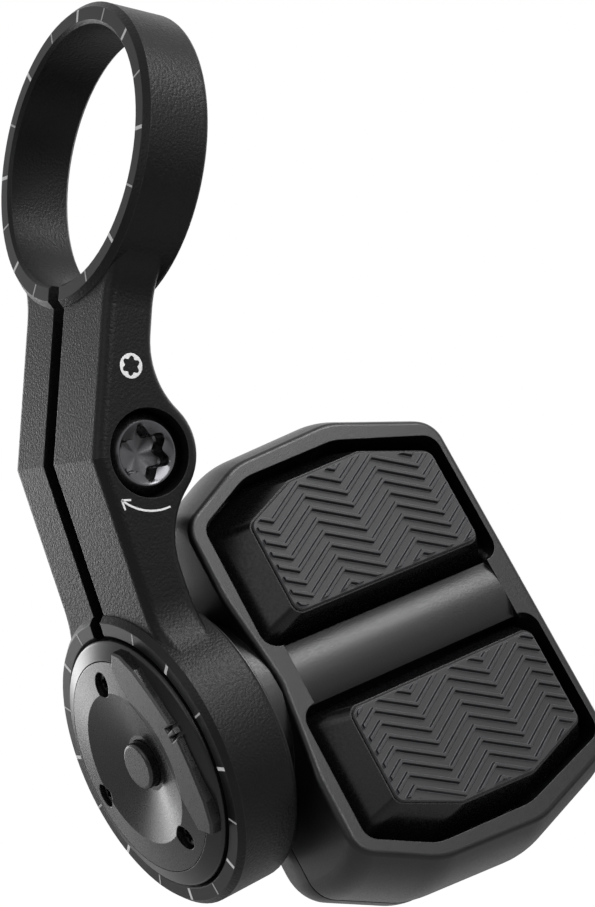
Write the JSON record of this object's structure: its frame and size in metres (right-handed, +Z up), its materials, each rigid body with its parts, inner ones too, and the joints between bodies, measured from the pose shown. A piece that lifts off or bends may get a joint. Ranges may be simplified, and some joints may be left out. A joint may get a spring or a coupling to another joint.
{
  "type": "electronic shift controller",
  "caption": "Handlebar shift controller: a twin-ring clamp carries a pod that swivels, with rocker paddles on its face and a push button in the dial on its barrel.",
  "frame": {"origin": "centre of the handlebar bore, at mid-width of its ring", "axes": "+Y along the handlebar from the clamp's marked face towards the pod, +Z up, from the pod's ring towards the handlebar, +X towards the head of the clamp bolt"},
  "size_m": [0.0303, 0.0502, 0.0749],
  "materials": {
    "clamp_alloy": "black anodised over a fine blasted surface",
    "bolt_steel": "black oxide, bright edge",
    "housing_plastic": "black, fine moulded grain",
    "dial_alloy": "black anodised, satin, turned",
    "button_plastic": "black, satin",
    "paddle_plastic": "black, smooth satin",
    "grip_rubber": "dark grey, ribbed, fine grain",
    "pin_steel": "ground",
    "screw_steel": "black zinc",
    "seal_rubber": "matt black",
    "board_laminate": "green solder mask",
    "switch_plastic": "black body",
    "battery_can": "nickel plated",
    "contact_metal": "gold flash"
  },
  "bodies": {
    "clamp": {"clamp": "clamp_alloy", "clamp_bolt": "bolt_steel"},
    "upper_paddle": {"upper_paddle": "paddle_plastic", "upper_grip_pad": "grip_rubber"},
    "lower_paddle": {"lower_paddle": "paddle_plastic", "lower_grip_pad": "grip_rubber"},
    "function_button": {"function_button": "button_plastic"},
    "battery_hatch": {"battery_hatch": "housing_plastic"},
    "pod": {"pod_housing": "housing_plastic", "dial_cap": "dial_alloy", "button_seal": "seal_rubber", "button_board": "board_laminate", "button_switch": "switch_plastic", "main_board": "board_laminate", "rear_cover": "housing_plastic", "cover_gasket": "seal_rubber", "coin_battery": "battery_can", "negative_contact": "contact_metal", "positive_contact": "contact_metal", "hatch_seal": "seal_rubber", "dial_screw_1": "screw_steel", "dial_screw_2": "screw_steel", "dial_screw_3": "screw_steel", "cover_screw_1": "screw_steel", "cover_screw_2": "screw_steel", "cover_screw_3": "screw_steel", "cover_screw_4": "screw_steel", "upper_hinge_pin": "pin_steel", "upper_membrane": "seal_rubber", "upper_switch": "switch_plastic", "lower_hinge_pin": "pin_steel", "lower_membrane": "seal_rubber", "lower_switch": "switch_plastic"}
  },
  "joints": [
    {"name": "pod_swivel", "type": "hinge", "parent": "clamp", "child": "pod", "pos_m": [0, 0.01088, -0.04906], "axis": [0, 0.9063, 0.4226], "continuous": true},
    {"name": "upper_paddle_press", "type": "hinge", "parent": "pod", "child": "upper_paddle", "pos_m": [0.00507, 0.02602, -0.03532], "axis": [-0.0127, -0.9188, -0.3946], "range_deg": [0, 3], "stiffness_Nm_per_rad": 0.35, "springref_deg": -1.15},
    {"name": "lower_paddle_press", "type": "hinge", "parent": "pod", "child": "lower_paddle", "pos_m": [0.00836, 0.02912, -0.04263], "axis": [0.0127, 0.9188, 0.3946], "range_deg": [0, 3], "stiffness_Nm_per_rad": 0.35, "springref_deg": -1.15},
    {"name": "button_press", "type": "slide", "parent": "pod", "child": "function_button", "axis": [0, 0.9063, 0.4226], "range_m": [0, 0.0005], "stiffness_N_per_m": 2000, "springref_m": -0.0002},
    {"name": "hatch_turn", "type": "hinge", "parent": "pod", "child": "battery_hatch", "pos_m": [-0.00715, 0.02963, -0.04434], "axis": [0.9239, -0.1617, 0.3468], "range_deg": [0, 60]}
  ]
}
